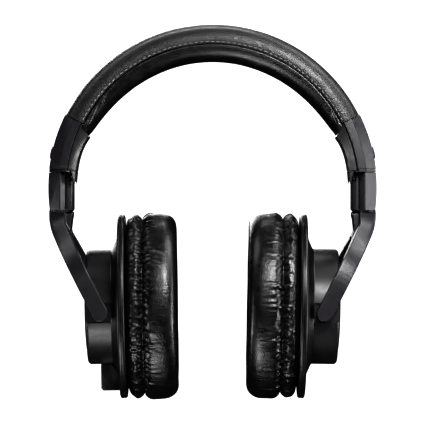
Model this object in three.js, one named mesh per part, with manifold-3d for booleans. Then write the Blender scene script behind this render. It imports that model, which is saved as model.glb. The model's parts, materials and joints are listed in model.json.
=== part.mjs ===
// Over-ear studio headphones, in millimetres, +Z up.
// The origin is the middle of the headband pad's underside, where the headphones rest on a head.
// X runs from ear to ear and Y from front to back. Side parts are drawn once, for the side at +X,
// with x pointing outward, and mirrored for the left side at -X.
import * as THREE from 'three';
import { mergeVertices } from 'three/addons/utils/BufferGeometryUtils.js';
import Module from 'manifold-3d';

const wasm = await Module();
wasm.setup();

// ---- Driving dimensions ----
const GAP = 0.3;                  // clearance between pieces that touch

// Headband: every layer is an arc about one centre below the crown
const BAND_CENTRE_Z = -69.2;      // height of the arc centre
const BAND_R = 88.7;              // outer radius of cover, housings and links
const BAND_HALF_WIDTH = 19;       // half the front-to-back width of the cover
const COVER_INNER_R = 77.7;       // radius of the seam between cover and pad
const COVER_END = 26.6;           // angle above horizontal where the cover ends, degrees
const PAD_CROWN_R = 69.2;         // underside of the pad at the crown
const PAD_END_R = 72.6;           // underside of the pad at its two ends
const PAD_TOP_R = 77.4;
const PAD_END = 23;               // lower edge of the pad's ends, degrees above horizontal
const END_SLANT = 3.6;            // pad and plate meet on a slant, this much higher at the seam, degrees
const ARC_STEPS = 21;             // odd, so that a flat facet is centred on the crown
const FRAME_R = [78, 79.5];       // plastic arch that carries the pad and cover
const FRAME_END = 34;
const SPRING_R = [79.8, 80.8];    // steel band
const SPRING_END = 25;

// Slider housing at each end of the headband
const HOUSING_TOP = 26.3;         // degrees
const SHELL_MOUTH_Z = -58.9;      // level lower end of the outer shell
const MOUTH_Z = -59.8;            // and of the inner plate
const PLATE_INNER_R = 74.2;       // inner face of the housing's inner plate
const PLATE_FLAT = 14.1;          // half width of that face, between its bevels
const PLATE_FLARE = 1.8;          // how far the plate thickens up to the pad
const PLATE_OUTER_R = 78.2;
const PLATE_TOP = 22.6;           // degrees
const HOUSING_WALL = 1.8;
const SPIGOT = [20, 33.5];        // plate's tail under the cover, degrees
const SCREW_Y = 11.5;
const SCREW_ANGLES = { lower: 11.5, upper: 17 };

// Slider: a straight strip that leaves the housing along a line leaning outward
const SLIDE_TILT = 12;            // degrees from vertical
const SLIDE_MOUTH = [79.5, -59];  // x and z of the strip's centre at the mouth
const STRIP_THICKNESS = 1.5;
const STRIP_HALF_WIDTH = 5;
const STRIP_SPAN = [-4.2, 38];    // along the slide line from the mouth
const NOTCH_PITCH = 2.5;
const NOTCH_COUNT = 11;
const NOTCH_DEPTH = 0.8;

// Fold hinge between the slider's end block and the link
const FOLD = [76.6, -64.6];       // x and z of the pin
const FOLD_PIN_R = 1.05;
const LUG_HALF_WIDTH = 4;
const EAR_HALF_WIDTH = 8;
const SLAB_FOOT = 0.5;            // the end block's plate closes the shell's mouth down to this below the inner plate

// Hinge link and swivel
const LINK_Z = [-81.2, -60.9];
const LINK_INNER_X = 81.8;
const LINK_HALF_WIDTH = 15;
const LINK_FACE = 9.3;            // half width of its outer face, between its bevels
const SWIVEL_X = 79.3;            // upright swivel axis
const COLUMN = { x: 78.3, r: 3.2, halfDepth: 8, bottomZ: -81 };  // rounded post behind the link
const HUB_R = 4.2;                // top of the yoke's swivel hub
const SWIVEL_PIN_R = 1.8;

// Yoke and the axis that the cup tilts on
const PIVOT = [59.6, -136.1];     // x and z
const ARM_LEAN = 27.3;            // degrees from vertical
const ARM_HALF_WIDTH = 4.3;
const YOKE_TOP_Z = -81.6;
const YOKE_OUTER_X = 88.3;
const ARM_Y = [33.2, 37.2];       // inner and outer face of each arm
const CROWN_HALF_WIDTH = 13;      // of the yoke at its top
const FACE_TURN = 0.6;            // slope of the crown's faces outward, fading to none at the arms' ends
const ARCH_CENTRE_Z = -131;       // centre of the round inside of the fork
const PIVOT_PIN_R = 1.9;

// Ear cup, measured from the pivot: x outward along its axis, z up
const CUP_LEAN = 0.9;             // degrees, bottoms inward
const CUP_CENTRE_Z = 2.5;         // axis of the barrel above the pivot
const CUP_R = 31.25;              // barrel
const CUP_WALL = 2.2;
const CUP_END_X = 8.1;
const CONE = { r: 38, fromX: -5.5, toX: -9.1 };
const FLANGE_HALF_HEIGHT = 50;
const OVAL = 0.84;                // front-to-back width over height of flange and pad
const FLANGE_X = [-10.8, -9];
const BAFFLE_X = [-12.9, -11.1];
const BAFFLE_HOLE_R = 21;
const CAP_R = 29.3;
const CAP_FLAT_R = 16;            // flat middle of the outer cap
const PAD_X = [-41.7, -13.7];     // cushion thickness
const PAD_HOLE = 31;              // half height of the ear opening
const PORT_HALF_WIDTH = 6;
const SOCKET_X = -3.7;
const SOCKET_BORE_R = 1.85;       // takes a 3.5 mm jack
const PORT_BOTTOM_Z = -42.9;

const ROUND = 28;                 // segments of the large round parts
const DRIVER_ROUND = 16;          // segments of the parts inside a cup
const SMALL_ROUND = 10;           // segments of pins and bores

// ---- Finishes ----
const finish = (color, roughness, metalness = 0) => ({ color, roughness, metalness });
const LEATHERETTE = finish(0x17161a, 0.5);
const SATIN_PLASTIC = finish(0x232127, 0.42);
const MATT_PLASTIC = finish(0x1a1a1d, 0.62);
const PLATE_PLASTIC = finish(0x48464a, 0.4);
const STEEL = finish(0x9a9c9f, 0.3, 1);
const SPRING_STEEL = finish(0x6d7074, 0.35, 1);
const BRASS = finish(0x9c8452, 0.35, 1);
const MAGNET = finish(0x55575c, 0.45, 0.8);
const FILM = finish(0x8f8468, 0.4);
const FOAM = finish(0x2d2c2e, 0.95);

// ---- Solids ----
const radians = THREE.MathUtils.degToRad;

// Signed volume of a triangle list; negative when its faces point inward.
function signedVolume(positions, index) {
  const [a, b, c] = [new THREE.Vector3(), new THREE.Vector3(), new THREE.Vector3()];
  let volume = 0;
  for (let i = 0; i < index.length; i += 3) {
    a.fromArray(positions, 3 * index[i]);
    b.fromArray(positions, 3 * index[i + 1]);
    c.fromArray(positions, 3 * index[i + 2]);
    volume += a.dot(b.cross(c)) / 6;
  }
  return volume;
}

// A closed solid from a geometry, whichever way its faces were wound.
function solidOf(geometry) {
  geometry.deleteAttribute('normal');
  geometry.deleteAttribute('uv');
  const merged = mergeVertices(geometry, 1e-4);
  const positions = Float32Array.from(merged.attributes.position.array);
  const index = [];
  for (let i = 0; i < merged.index.count; i += 3) {
    const [a, b, c] = [0, 1, 2].map((k) => merged.index.getX(i + k));
    if (a !== b && b !== c && c !== a) index.push(a, b, c);
  }
  if (signedVolume(positions, index) < 0) index.reverse();
  const mesh = { numProp: 3, vertProperties: positions, triVerts: Uint32Array.from(index) };
  return new wasm.Manifold(new wasm.Mesh(mesh));
}

// Moves each vertex of a geometry to where place(a, b, c) says.
function reshape(geometry, place) {
  const position = geometry.attributes.position;
  for (let i = 0; i < position.count; i += 1) {
    position.setXYZ(i, ...place(position.getX(i), position.getY(i), position.getZ(i)));
  }
  return geometry;
}

const shapeOf = (outline) => (outline instanceof THREE.Shape ? outline
  : new THREE.Shape(outline.map(([a, b]) => new THREE.Vector2(a, b))));

// A flat outline (a, b) pushed from one c to another, then placed in space.
function extrude(outline, [from, to], place, steps = 1) {
  const settings = { depth: to - from, steps, bevelEnabled: false, curveSegments: 7 };
  const geometry = new THREE.ExtrudeGeometry(shapeOf(outline), settings);
  return solidOf(reshape(geometry, (a, b, c) => place(a, b, c + from)));
}
const alongX = (outline, span) => extrude(outline, span, (y, z, x) => [x, y, z]);
const alongY = (outline, span) => extrude(outline, span, (x, z, y) => [x, y, z]);
const box = ([x0, x1], [y0, y1], [z0, z1]) => alongY([[x0, z0], [x1, z0], [x1, z1], [x0, z1]], [y0, y1]);

// A profile of [radius, along] pairs turned about a line, then placed in space.
function turn(profile, place, segments = ROUND) {
  const points = profile.map(([radius, along]) => new THREE.Vector2(radius, along));
  return solidOf(reshape(new THREE.LatheGeometry(points, segments), place));
}
const turnX = (profile, [y, z], segments) => turn(profile, (a, b, c) => [b, y + a, z + c], segments);
const turnY = (profile, [x, z], segments) => turn(profile, (a, b, c) => [x + a, b, z + c], segments);
const turnZ = (profile, [x, y], segments) => turn(profile, (a, b, c) => [x + a, y + c, b], segments);
const rod = (radius, [from, to]) => [[0, from], [radius, from], [radius, to], [0, to]];
const ring = (inner, outer, [from, to]) => [
  [inner, from], [outer, from], [outer, to], [inner, to], [inner, from]];

// A section of (radius, y) swept along the headband between two angles.
function onBand(radius, y, angle) {
  const turnBy = radians(angle);
  return [radius * Math.cos(turnBy), y, BAND_CENTRE_Z + radius * Math.sin(turnBy)];
}
const sweepBand = (section, span, steps) => extrude(section, span, onBand, steps);
const bandStrip = ([r0, r1], halfWidth, span, steps) =>
  sweepBand([[r0, -halfWidth], [r1, -halfWidth], [r1, halfWidth], [r0, halfWidth]], span, steps);

// A profile of [across, outward radius] pairs turned about a spoke of the band.
function turnSpoke(profile, angle, y) {
  const lean = radians(angle);
  const spoke = (a, along, c) => [
    along * Math.cos(lean) - a * Math.sin(lean), y + c,
    BAND_CENTRE_Z + along * Math.sin(lean) + a * Math.cos(lean)];
  return turn(profile, spoke, SMALL_ROUND);
}

// The slide line's own directions: t up the strip, n outward through its thickness.
function onSlide(y, n, t) {
  const lean = radians(SLIDE_TILT);
  return [SLIDE_MOUTH[0] + n * Math.cos(lean) - t * Math.sin(lean), y,
    SLIDE_MOUTH[1] + n * Math.sin(lean) + t * Math.cos(lean)];
}
const slideBlock = (halfWidth, [n0, n1], span) =>
  extrude([[-halfWidth, n0], [halfWidth, n0], [halfWidth, n1], [-halfWidth, n1]], span, onSlide);

const cutAll = (solid, ...tools) => tools.reduce((left, tool) => left.subtract(tool), solid);
const joinAll = (solid, ...others) => others.reduce((left, other) => left.add(other), solid);

// ---- Headband ----
const mirrored = (points) => [...points, ...points.map(([r, y]) => [r, -y]).reverse()];

function headbandCover() {
  const w = BAND_HALF_WIDTH;
  const outside = [[COVER_INNER_R, -w], [84.2, 0.6 - w], [87.6, 4 - w], [BAND_R, 9 - w]];
  const wall = HOUSING_WALL;
  const inside = [[COVER_INNER_R, wall - w], [83.4, 2.4 - w], [86.2, 5.2 - w], [BAND_R - wall, 9.5 - w]];
  const section = [...mirrored(outside), ...mirrored(inside).reverse()];
  return sweepBand(section, [COVER_END, 180 - COVER_END], ARC_STEPS);
}

// The pad is deepest at the crown and thins towards both ends.
function headbandPad() {
  const half = [[0, -10], [0.35, -15.5], [0.8, -18], [1, -18]];
  const facet = radians((180 - 2 * PAD_END) / ARC_STEPS / 2);
  const place = (share, y, angle) => {
    const away = (angle - 90) / (90 - PAD_END);
    const under = PAD_CROWN_R / Math.cos(facet) + (PAD_END_R - PAD_CROWN_R) * Math.abs(away) ** 3;
    return onBand(under + share * (PAD_TOP_R - under), y, angle - away * share * END_SLANT);
  };
  return extrude(mirrored(half), [PAD_END, 180 - PAD_END], place, ARC_STEPS);
}

// ---- Slider housing ----
const belowMouth = (z) => box([60, 100], [-25, 25], [z - 20, z]);

function housingSection(inset) {
  const half = [
    [PLATE_OUTER_R + GAP, inset - 17.5], [83.2 - inset / 3, inset - 17.5], [BAND_R - inset, inset / 2 - 12.5]];
  return mirrored(half);
}

function housingOuter() {
  const openInside = ([r, y]) => [r > PLATE_OUTER_R + GAP ? r : r - 2, y];
  const hollow = housingSection(HOUSING_WALL).map(openInside);
  const bosses = Object.entries(SCREW_ANGLES).map(([place, angle]) =>
    turnSpoke(rod(2.6, [PLATE_OUTER_R + GAP, BAND_R - 1]), angle, screwSide(place)));
  const bores = Object.entries(SCREW_ANGLES).map(([place, angle]) =>
    turnSpoke(rod(1.3, [PLATE_OUTER_R - 1, PLATE_OUTER_R + 6.5]), angle, screwSide(place)));
  const thumbRib = turnSpoke(rod(3.4, [BAND_R - 3, BAND_R + 1]), 12.5, 0);
  const shell = cutAll(sweepBand(housingSection(0), [4, HOUSING_TOP], 6),
    sweepBand(hollow, [8.6, HOUSING_TOP + 1], 5));
  return cutAll(joinAll(shell, ...bosses, thumbRib), ...bores, belowMouth(SHELL_MOUTH_Z),
    slideBlock(STRIP_HALF_WIDTH + 0.4, [-1.1, 1.1], [-3, 8]));
}
const screwSide = (place) => (place === 'lower' ? SCREW_Y : -SCREW_Y);

// The plate's inner face is flat between two bevels that turn forward and back.
const plateSection = (innerR) => mirrored([[innerR, -PLATE_FLAT], [PLATE_OUTER_R, -17.5]]);

function housingInner() {
  const start = 4;
  const place = (r, y, angle) => {
    const share = (angle - start) / (PLATE_TOP - start);
    const depth = (r - PLATE_OUTER_R) / (PLATE_INNER_R - PLATE_OUTER_R);
    const slant = share * (1 - depth) * END_SLANT;
    return onBand(r - depth * PLATE_FLARE * share ** 3, y, angle + slant);
  };
  const plate = extrude(plateSection(PLATE_INNER_R), [start, PLATE_TOP], place, 6);
  const spigot = bandStrip([PLATE_OUTER_R - 0.3, FRAME_R[1]], 12, SPIGOT, 4);
  const holes = Object.entries(SCREW_ANGLES).flatMap(([place, angle]) => [
    turnSpoke(rod(1.3, [PLATE_INNER_R - 1, PLATE_OUTER_R + 2]), angle, screwSide(place)),
    turnSpoke(rod(2.5, [PLATE_INNER_R - 1, PLATE_INNER_R + 1.7]), angle, screwSide(place))]);
  return cutAll(plate.add(spigot), ...holes, belowMouth(MOUTH_Z));
}

function housingScrew(place) {
  const head = PLATE_INNER_R + 0.3;
  const profile = [[0, head], [2.1, head], [2.1, head + 1.1], [1, head + 1.1], [1, head + 9], [0, head + 9]];
  return turnSpoke(profile, SCREW_ANGLES[place], screwSide(place));
}

// A block with a channel for the strip and, on one side, room for the detent leaf.
function sliderGuide() {
  const section = [
    [-8.5, -1.05], [-5.4, -1.05], [-5.4, 1.05], [7.5, 1.05], [7.5, -1.05], [8.5, -1.05],
    [8.5, 3.2], [-8.5, 3.2]];
  return extrude(section, [3, 22], onSlide);
}

// A bent leaf whose nose rides on the strip's notched edge.
function detentSpring() {
  const outline = [
    [6.6, 6], [7.2, 6], [7.2, 10.3], [6.2, 12], [7.2, 13.7], [7.2, 18],
    [6.6, 18], [6.6, 13.9], [5.4, 12], [6.6, 10.1]];
  return extrude(outline, [-0.7, 0.7], (y, t, n) => onSlide(y, n, t));
}

function sliderStrip() {
  const w = STRIP_HALF_WIDTH;
  const notch = (i) => {
    const t = 12 + i * NOTCH_PITCH;
    return [[w, t - 0.6], [w - NOTCH_DEPTH, t], [w, t + 0.6]];
  };
  const notches = Array.from({ length: NOTCH_COUNT }, (_, i) => notch(i)).flat();
  const outline = [[-w, STRIP_SPAN[0]], [w, STRIP_SPAN[0]], ...notches, [w, STRIP_SPAN[1]], [-w, STRIP_SPAN[1]]];
  const half = STRIP_THICKNESS / 2;
  return extrude(outline, [-half, half], (y, t, n) => onSlide(y, n, t));
}

// ---- Fold hinge ----
// A thin plate under the mouth carries a lug for the pin and two blades that cover the hinge.
function sliderEndBlock() {
  const top = MOUTH_Z - GAP;
  const lug = [
    [74.2, top], [74.3, -65.2], [75, -66.6], [76.8, -66.4], [78.3, -65], [78.6, -64], [81.4, -64], [81.4, top]];
  const bar = box([77.3, 81.4], [-EAR_HALF_WIDTH, EAR_HALF_WIDTH], [top - 1.6, top]);
  const shelf = sweepBand(housingSection(0.5), [2, 10], 2)
    .intersect(box([70, 92], [-20, 20], [top - SLAB_FOOT, SHELL_MOUTH_Z - GAP]));
  const foot = sweepBand(plateSection(PLATE_INNER_R + 0.3), [2, 10], 2)
    .intersect(box([70, 80], [-20, 20], [top - SLAB_FOOT, top]));
  const bladeOutline = [[73, top], [76, top], [75.3, -64], [74.8, -66.6], [74.1, -66.9], [73, -66.6]];
  const blades = alongY(bladeOutline, [-20, 20]).intersect(sweepBand(plateSection(PLATE_INNER_R), [0, 9], 3))
    .subtract(box([70, 80], [-8.7, 8.7], [-70, top - SLAB_FOOT]));
  const joint = shelf.add(foot).add(box([77.5, 79.5], [-15, 15], [top - SLAB_FOOT, top]));
  const pinHole = turnY(rod(FOLD_PIN_R + GAP, [-8.4, 8.4]), FOLD, SMALL_ROUND);
  const slot = slideBlock(STRIP_HALF_WIDTH + GAP, [-1.05, 1.05], [-4.5, 2]);
  const body = joinAll(alongY(lug, [-LUG_HALF_WIDTH, LUG_HALF_WIDTH]), bar, joint, blades);
  return cutAll(body, pinHole, slot);
}

const foldPin = () => turnY(rod(FOLD_PIN_R, [-EAR_HALF_WIDTH, EAR_HALF_WIDTH]), FOLD, SMALL_ROUND);

function hingeLink() {
  const strip = new THREE.Shape();
  const angleAt = (z) => Math.asin((z - BAND_CENTRE_Z) / BAND_R);
  strip.moveTo(LINK_INNER_X, LINK_Z[0]);
  strip.absarc(0, BAND_CENTRE_Z, BAND_R, angleAt(LINK_Z[0]), angleAt(LINK_Z[1]), false);
  strip.lineTo(LINK_INNER_X, LINK_Z[1]);
  const upright = (outline, span) => extrude(outline, span, (x, y, z) => [x, y, z]);
  const web = upright(mirrored([[79.6, -12], [82.4, -LINK_HALF_WIDTH]]), [COLUMN.bottomZ, -61.2])
    .subtract(box([70, LINK_INNER_X], [-8.6, 8.6], [-65.4, -60]));
  const column = new THREE.Shape();
  column.absarc(COLUMN.x, COLUMN.halfDepth - COLUMN.r, COLUMN.r, 0, Math.PI, false);
  column.absarc(COLUMN.x, COLUMN.r - COLUMN.halfDepth, COLUMN.r, Math.PI, 2 * Math.PI, false);
  const ear = [
    [75, -66.4], [75, -64.6], [75.4, -63.4], [76.6, -62.9], [78, -63.4], [81, -65.4], [81, -70], [75, -70]];
  const ears = alongY(ear, [-EAR_HALF_WIDTH, EAR_HALF_WIDTH]).intersect(upright(column, [-72, -60]));
  const lugRoom = turnY(rod(3, [-4.4, 4.4]), FOLD, SMALL_ROUND);
  const blockRoom = box([70, LINK_INNER_X], [-4.4, 4.4], [-64.9, -60]);
  const pinHole = turnY(rod(FOLD_PIN_R + GAP, [-9, 9]), FOLD, SMALL_ROUND);
  const swivelBore = turnZ(rod(SWIVEL_PIN_R + GAP, [-90, -68]), [SWIVEL_X, 0], SMALL_ROUND);
  const section = mirrored([[LINK_INNER_X, -LINK_HALF_WIDTH], [82.4, -LINK_HALF_WIDTH], [BAND_R, -LINK_FACE]]);
  const plate = alongY(strip, [-LINK_HALF_WIDTH, LINK_HALF_WIDTH])
    .intersect(upright(section, [LINK_Z[0] - 1, LINK_Z[1] + 1]));
  const solid = joinAll(plate, web, upright(column, [COLUMN.bottomZ, -66]), ears);
  return cutAll(solid, lugRoom, blockRoom, pinHole, swivelBore);
}

// ---- Swivel and yoke ----
function swivelPin() {
  const profile = [[0, -68.4], [SWIVEL_PIN_R, -68.4], [SWIVEL_PIN_R, -88.4], [2.6, -88.4], [2.2, -89.6], [0, -89.6]];
  return turnZ(profile, [SWIVEL_X, 0], SMALL_ROUND);
}

const swivelWasher = () => turnZ(ring(SWIVEL_PIN_R + GAP, 3.8, [-81.7, -81.3]), [SWIVEL_X, 0], SMALL_ROUND);

// Seen from the front: a bar that leans in from the swivel down to the cup's pivot.
function armOutline() {
  const lean = radians(ARM_LEAN);
  const across = [Math.cos(lean) * ARM_HALF_WIDTH, -Math.sin(lean) * ARM_HALF_WIDTH];
  const outer = [PIVOT[0] + across[0], PIVOT[1] + across[1]];
  const inner = [PIVOT[0] - across[0], PIVOT[1] - across[1]];
  const alongArm = ([x, z], toZ) => [x + (toZ - z) * Math.tan(lean), toZ];
  const shape = new THREE.Shape();
  shape.moveTo(79.5, YOKE_TOP_Z - 0.4);
  shape.lineTo(YOKE_OUTER_X, YOKE_TOP_Z);
  shape.lineTo(YOKE_OUTER_X, -85);
  shape.quadraticCurveTo(YOKE_OUTER_X, -90.5, ...alongArm(outer, -97));
  shape.lineTo(...outer);
  shape.absarc(...PIVOT, ARM_HALF_WIDTH, -lean, Math.PI - lean, true);
  shape.lineTo(...inner);
  shape.lineTo(...alongArm(inner, -88.2));
  return shape;
}

// Square to the leaning arms: a goes across them outward, and z is the height on their centre line.
function onArm(y, z, a) {
  const lean = radians(ARM_LEAN);
  return [PIVOT[0] + (z - PIVOT[1]) * Math.tan(lean) + a * Math.cos(lean), y, z - a * Math.sin(lean)];
}

// Seen along the arms' width: the crown widens into two arms, and its faces turn outward.
function forkBody() {
  const outside = ARM_Y[1];
  const shape = new THREE.Shape();
  shape.moveTo(-CROWN_HALF_WIDTH, -74);
  shape.lineTo(CROWN_HALF_WIDTH, -74);
  shape.lineTo(CROWN_HALF_WIDTH, -83);
  shape.bezierCurveTo(CROWN_HALF_WIDTH, -93, outside, -97, outside, -122);
  shape.lineTo(outside, -142);
  shape.lineTo(-outside, -142);
  shape.lineTo(-outside, -122);
  shape.bezierCurveTo(-outside, -97, -CROWN_HALF_WIDTH, -93, -CROWN_HALF_WIDTH, -83);
  const place = (y, z, a) => {
    const fade = (outside - Math.abs(y)) / (outside - CROWN_HALF_WIDTH);
    const turnIn = FACE_TURN * fade * (a + ARM_HALF_WIDTH);
    return onArm(y - Math.sign(y) * turnIn, z, a);
  };
  return extrude(shape, [-14, 10], place);
}

// The round opening that straddles the barrel.
function archRoom() {
  const inside = ARM_Y[0];
  const shape = new THREE.Shape();
  shape.absarc(0, ARCH_CENTRE_Z, inside, 0, Math.PI, false);
  shape.lineTo(-inside, -150);
  shape.lineTo(inside, -150);
  return extrude(shape, [-20, 12], onArm);
}

function yoke() {
  const gusset = [[75.6, -83], [76.3, -89], [76.6, -92], [74.2, -98], [71.2, -104], [79, -104], [84, -86], [84, -83]];
  const bars = alongY(armOutline(), [-40, 40]).intersect(forkBody());
  const hub = [[0, -82], [HUB_R, -82], [HUB_R, -84.5], [2.8, -88.1], [0, -88.1]];
  const bridge = box([SWIVEL_X, 85], [-HUB_R, HUB_R], [-86.5, -82]);
  const fork = cutAll(joinAll(bars, alongY(gusset, [-9, 9])), archRoom());
  const bore = turnZ(rod(SWIVEL_PIN_R + GAP, [-95, -80]), [SWIVEL_X, 0], SMALL_ROUND);
  const headRoom = turnZ(rod(3, [-95, -88.1]), [SWIVEL_X, 0], SMALL_ROUND);
  const pinBores = [-1, 1].map((side) =>
    turnY(rod(PIVOT_PIN_R + GAP, [side * 32, side * 35.4]), PIVOT, SMALL_ROUND));
  return cutAll(joinAll(fork, turnZ(hub, [SWIVEL_X, 0], 2 * SMALL_ROUND), bridge), bore, headRoom, ...pinBores);
}

const pivotPin = (side) => turnY(rod(PIVOT_PIN_R, [side * 28.5, side * 35.1]), PIVOT, SMALL_ROUND);

// ---- Ear cup, in the cup's own frame ----
const CUP_AXIS = [0, CUP_CENTRE_Z];

function oval(halfHeight, hole) {
  const shape = new THREE.Shape();
  shape.absellipse(0, CUP_CENTRE_Z, halfHeight * OVAL, halfHeight, 0, 2 * Math.PI, false);
  if (hole) shape.holes.push(new THREE.Path().absarc(0, CUP_CENTRE_Z, hole, 0, 2 * Math.PI, false));
  return shape;
}

const ovalPlate = (halfHeight, hole, span) => {
  const settings = { depth: span[1] - span[0], bevelEnabled: false, curveSegments: ROUND / 2 };
  const geometry = new THREE.ExtrudeGeometry(oval(halfHeight, hole), settings);
  return solidOf(reshape(geometry, (y, z, x) => [x + span[0], y, z]));
};

function cupHousing() {
  const inner = CUP_R - CUP_WALL;
  const profile = [
    [0, 5], [inner, 5], [inner, CONE.fromX], [CONE.r - CUP_WALL, CONE.toX], [CONE.r, CONE.toX],
    [CUP_R, CONE.fromX], [CUP_R, CUP_END_X - 1.4], [CUP_R - 1.4, CUP_END_X], [CAP_R + GAP, CUP_END_X],
    [CAP_R + GAP, 6.8], [0, 6.8]];
  const flange = ovalPlate(FLANGE_HALF_HEIGHT, CONE.r - CUP_WALL, FLANGE_X);
  const pockets = [-1, 1].flatMap((side) => [
    turnY(rod(5.3, [side * 29.9, side * 34]), [0, 0], 20),
    box([-5.2, 9], [side * 32 - 2.1, side * 32 + 2.1], [-5.3, 5.3]),
    turnY(rod(PIVOT_PIN_R + GAP, [side * 26, side * 34]), [0, 0], SMALL_ROUND)]);
  return cutAll(turnX(profile, CUP_AXIS).add(flange), ...pockets);
}

function outerCap() {
  const profile = [[0, 7.1], [CAP_R, 7.1], [CAP_R, 7.9], [24, 8.8], [CAP_FLAT_R, 9.2], [0, 9.2]];
  return turnX(profile, CUP_AXIS);
}

const baffle = () => ovalPlate(FLANGE_HALF_HEIGHT - 0.5, BAFFLE_HOLE_R, BAFFLE_X);

function earPad() {
  const profile = [
    [PAD_HOLE, -16], [PAD_HOLE + 1, PAD_X[1]], [47, PAD_X[1]], [49.4, -16.5], [47.6, -21.6], [50, -27],
    [49.6, -36], [46, -40.6], [42, PAD_X[0]], [36, PAD_X[0]], [PAD_HOLE, -37], [PAD_HOLE, -16]];
  return turn(profile, (a, along, c) => [along, a * OVAL, CUP_CENTRE_Z + c]);
}

const pivotBush = (side) =>
  turnY(ring(PIVOT_PIN_R + GAP, 4.4, [side * 30.2, side * 32.8]), [0, 0], SMALL_ROUND);

function driverFrame() {
  const profile = [
    [20.4, -10.8], [24, -10.8], [24, -9.4], [21.6, -9.4], [13, -2.4], [6, -2.4], [6, -3.8], [12.2, -3.8],
    [20.4, -10.2], [20.4, -10.8]];
  return turnX(profile, CUP_AXIS, DRIVER_ROUND);
}

const driverMagnet = () => turnX(rod(10.5, [-2.1, 3.6]), CUP_AXIS, DRIVER_ROUND);

function diaphragm() {
  const profile = [
    [0, -10], [7, -9], [13, -10], [19.9, -10.7], [19.9, -10.3], [13, -9.6], [7, -8.6], [0, -9.6]];
  return turnX(profile, CUP_AXIS, DRIVER_ROUND);
}

function driverGrille() {
  const disc = new THREE.Shape().absarc(0, CUP_CENTRE_Z, 23.5, 0, 2 * Math.PI, false);
  const rings = [{ radius: 0, count: 1 }, { radius: 8, count: 6 }, { radius: 16, count: 12 }];
  for (const { radius, count } of rings) {
    for (let i = 0; i < count; i += 1) {
      const angle = (2 * Math.PI * i) / count;
      const [y, z] = [radius * Math.cos(angle), CUP_CENTRE_Z + radius * Math.sin(angle)];
      disc.holes.push(new THREE.Path().absarc(y, z, 2.2, 0, 2 * Math.PI, false));
    }
  }
  const settings = { depth: 0.8, bevelEnabled: false, curveSegments: 3 };
  return solidOf(reshape(new THREE.ExtrudeGeometry(disc, settings), (y, z, x) => [x - 14, y, z]));
}

const dampingFoam = () => turnX(ring(15.5, 27.5, [-1.4, 4.5]), CUP_AXIS, DRIVER_ROUND);

// ---- Cable inlet, under the left barrel ----
function portHousing() {
  const outline = [
    [-5, -29.2], [1.3, -29.2], [1.3, PORT_BOTTOM_Z + 1.2], [0.1, PORT_BOTTOM_Z],
    [-8.6, PORT_BOTTOM_Z], [-8.6, -35.8]];
  const bore = turnZ(rod(3.4, [-50, -33]), [SOCKET_X, 0], SMALL_ROUND);
  return alongY(outline, [-PORT_HALF_WIDTH, PORT_HALF_WIDTH]).subtract(bore);
}

const jackSocket = () => turnZ(ring(SOCKET_BORE_R, 3.1, [PORT_BOTTOM_Z, -33.4]), [SOCKET_X, 0], SMALL_ROUND);

// ---- Assembly ----
function mesh(name, solid, look, side = 1) {
  const { vertProperties, triVerts } = solid.getMesh();
  const positions = Float32Array.from(vertProperties, (value, i) => (i % 3 === 0 ? side * value : value));
  const index = Array.from(triVerts);
  if (side < 0) index.reverse();
  const geometry = new THREE.BufferGeometry();
  geometry.setAttribute('position', new THREE.BufferAttribute(positions, 3));
  geometry.setIndex(index);
  geometry.computeVertexNormals();
  const piece = new THREE.Mesh(geometry, new THREE.MeshStandardMaterial(look));
  piece.name = name;
  return piece;
}

function headband() {
  const band = new THREE.Group();
  band.add(mesh('headband_cover', headbandCover(), LEATHERETTE));
  band.add(mesh('headband_pad', headbandPad(), LEATHERETTE));
  band.add(mesh('headband_frame',
    bandStrip(FRAME_R, 15, [FRAME_END, 180 - FRAME_END], ARC_STEPS - 4), MATT_PLASTIC));
  band.add(mesh('headband_spring',
    bandStrip(SPRING_R, 12, [SPRING_END, 180 - SPRING_END], ARC_STEPS), SPRING_STEEL));
  return band;
}

// Slider, fold hinge, swivel and yoke of one side.
function hanger(name, side) {
  const pieces = {
    slider_housing_outer: [housingOuter(), SATIN_PLASTIC],
    slider_housing_inner: [housingInner(), PLATE_PLASTIC],
    housing_screw_lower: [housingScrew('lower'), STEEL],
    housing_screw_upper: [housingScrew('upper'), STEEL],
    slider_guide: [sliderGuide(), MATT_PLASTIC],
    detent_spring: [detentSpring(), SPRING_STEEL],
    slider_strip: [sliderStrip(), STEEL],
    slider_end_block: [sliderEndBlock(), PLATE_PLASTIC],
    fold_pin: [foldPin(), STEEL],
    hinge_link: [hingeLink(), SATIN_PLASTIC],
    swivel_pin: [swivelPin(), STEEL],
    swivel_washer: [swivelWasher(), MATT_PLASTIC],
    yoke: [yoke(), SATIN_PLASTIC],
    pivot_pin_front: [pivotPin(-1), STEEL],
    pivot_pin_rear: [pivotPin(1), STEEL],
  };
  const hung = new THREE.Group();
  for (const [piece, [solid, look]] of Object.entries(pieces)) {
    hung.add(mesh(`${name}_${piece}`, solid, look, side));
  }
  return hung;
}

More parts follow.
